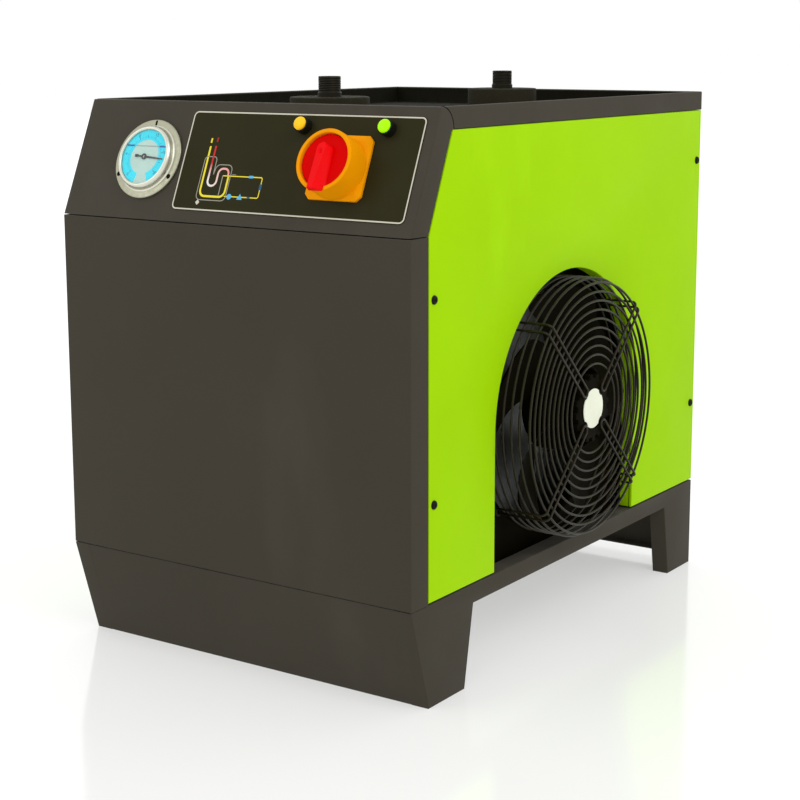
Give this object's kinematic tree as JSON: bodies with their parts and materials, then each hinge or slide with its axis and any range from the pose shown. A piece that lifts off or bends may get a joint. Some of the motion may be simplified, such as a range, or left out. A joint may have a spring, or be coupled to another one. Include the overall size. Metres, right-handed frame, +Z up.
{
  "type": "refrigerated air dryer",
  "caption": "Free-standing refrigerated compressed-air dryer: sheet-metal cabinet on legs, sloped control panel with gauge and rotary switch, side fan with wire guard, two air ports on top.",
  "frame": {"origin": "centre of the whole model's footprint box, on the floor the legs stand on", "axes": "+Z up, +Y from the control panel towards the rear, +X towards the fan side"},
  "size_m": [0.4714, 0.6586, 0.604],
  "materials": {
    "aluminium_fins": "aluminium fins on copper tube",
    "amber_lens": "amber lens",
    "black_plastic": "moulded black plastic",
    "black_wire": "black coated steel wire, semi-gloss",
    "box_grey": "grey moulded plastic",
    "brass": "machined brass",
    "compressor_paint": "black enamel",
    "copper": "drawn copper tube",
    "dark_paint": "dark bronze-black textured powder coat",
    "dial_print": "printed dial, cyan scale band on pale ground",
    "fan_black": "black painted fan, satin",
    "galvanised": "galvanised sheet steel",
    "green_lens": "green lens",
    "green_paint": "lime green satin powder coat",
    "insulation": "closed-cell black foam",
    "needle_black": "matt black pointer",
    "overlay_film": "printed polyester film, fine matt",
    "port_steel": "blackened steel pipe stub",
    "rubber": "black rubber",
    "stainless": "satin stainless steel",
    "switch_red": "red moulded plastic",
    "switch_yellow": "yellow moulded plastic",
    "tube_blue": "blue nylon tube",
    "white_label": "plain off-white label",
    "window_glass": "clear window"
  },
  "bodies": {
    "cabinet": {"air_port_front": "port_steel", "air_port_rear": "port_steel", "automatic_drain": "box_grey", "base_front_skirt": "dark_paint", "base_pan": "galvanised", "base_rear_skirt": "dark_paint", "base_side_left": "dark_paint", "base_side_right": "dark_paint", "cable_gland": "black_plastic", "capillary_coil": "copper", "compressor": "compressor_paint", "compressor_foot_1": "rubber", "compressor_foot_2": "rubber", "compressor_foot_3": "rubber", "compressor_terminal_cover": "black_plastic", "condenser_coil": "aluminium_fins", "control_overlay": "overlay_film", "control_panel": "dark_paint", "discharge_pipe": "copper", "drain_outlet": "brass", "drain_tube": "tube_blue", "drain_valve_body": "brass", "electrical_box": "box_grey", "exchanger_bracket": "galvanised", "fan_guard": "black_wire", "fan_motor": "fan_black", "fan_motor_label": "white_label", "fan_shroud": "dark_paint", "filter_drier": "copper", "front_panel": "dark_paint", "gauge_case": "stainless", "gauge_dial": "dial_print", "gauge_window": "window_glass", "heat_exchanger": "insulation", "hot_gas_valve": "brass", "lamp_housing_amber": "black_plastic", "lamp_housing_green": "black_plastic", "lamp_lens_amber": "amber_lens", "lamp_lens_green": "green_lens", "liquid_pipe": "copper", "moisture_separator": "stainless", "port_collar_front": "rubber", "port_collar_rear": "rubber", "rear_panel": "dark_paint", "run_capacitor": "black_plastic", "side_panel_left": "green_paint", "side_panel_right": "green_paint", "side_screw_right_1": "black_plastic", "side_screw_right_2": "black_plastic", "side_screw_right_3": "black_plastic", "side_screw_right_4": "black_plastic", "suction_pipe": "copper", "switch_collar": "switch_yellow", "switch_plate": "switch_yellow", "top_cover": "dark_paint"},
    "fan": {"fan_rotor": "fan_black", "fan_impeller": "fan_black"},
    "needle": {"gauge_needle": "needle_black"},
    "handle": {"switch_handle": "switch_red"},
    "lever": {"drain_valve_lever": "switch_red"}
  },
  "joints": [
    {"name": "fan_spin", "type": "hinge", "parent": "cabinet", "child": "fan", "pos_m": [0.20427, -0.00371, 0.254], "axis": [1, 0, 0], "continuous": true},
    {"name": "switch_turn", "type": "hinge", "parent": "cabinet", "child": "handle", "pos_m": [0.10827, -0.31147, 0.53072], "axis": [0, -0.9191, 0.3939], "range_deg": [0, 90]},
    {"name": "gauge_reading", "type": "hinge", "parent": "cabinet", "child": "needle", "pos_m": [-0.13603, -0.28962, 0.52332], "axis": [0, -0.9191, 0.3939], "range_deg": [-41, 229]},
    {"name": "drain_lever_turn", "type": "hinge", "parent": "cabinet", "child": "lever", "pos_m": [0.00427, -0.18621, 0.218], "axis": [0, -1, 0], "range_deg": [0, 90]}
  ]
}
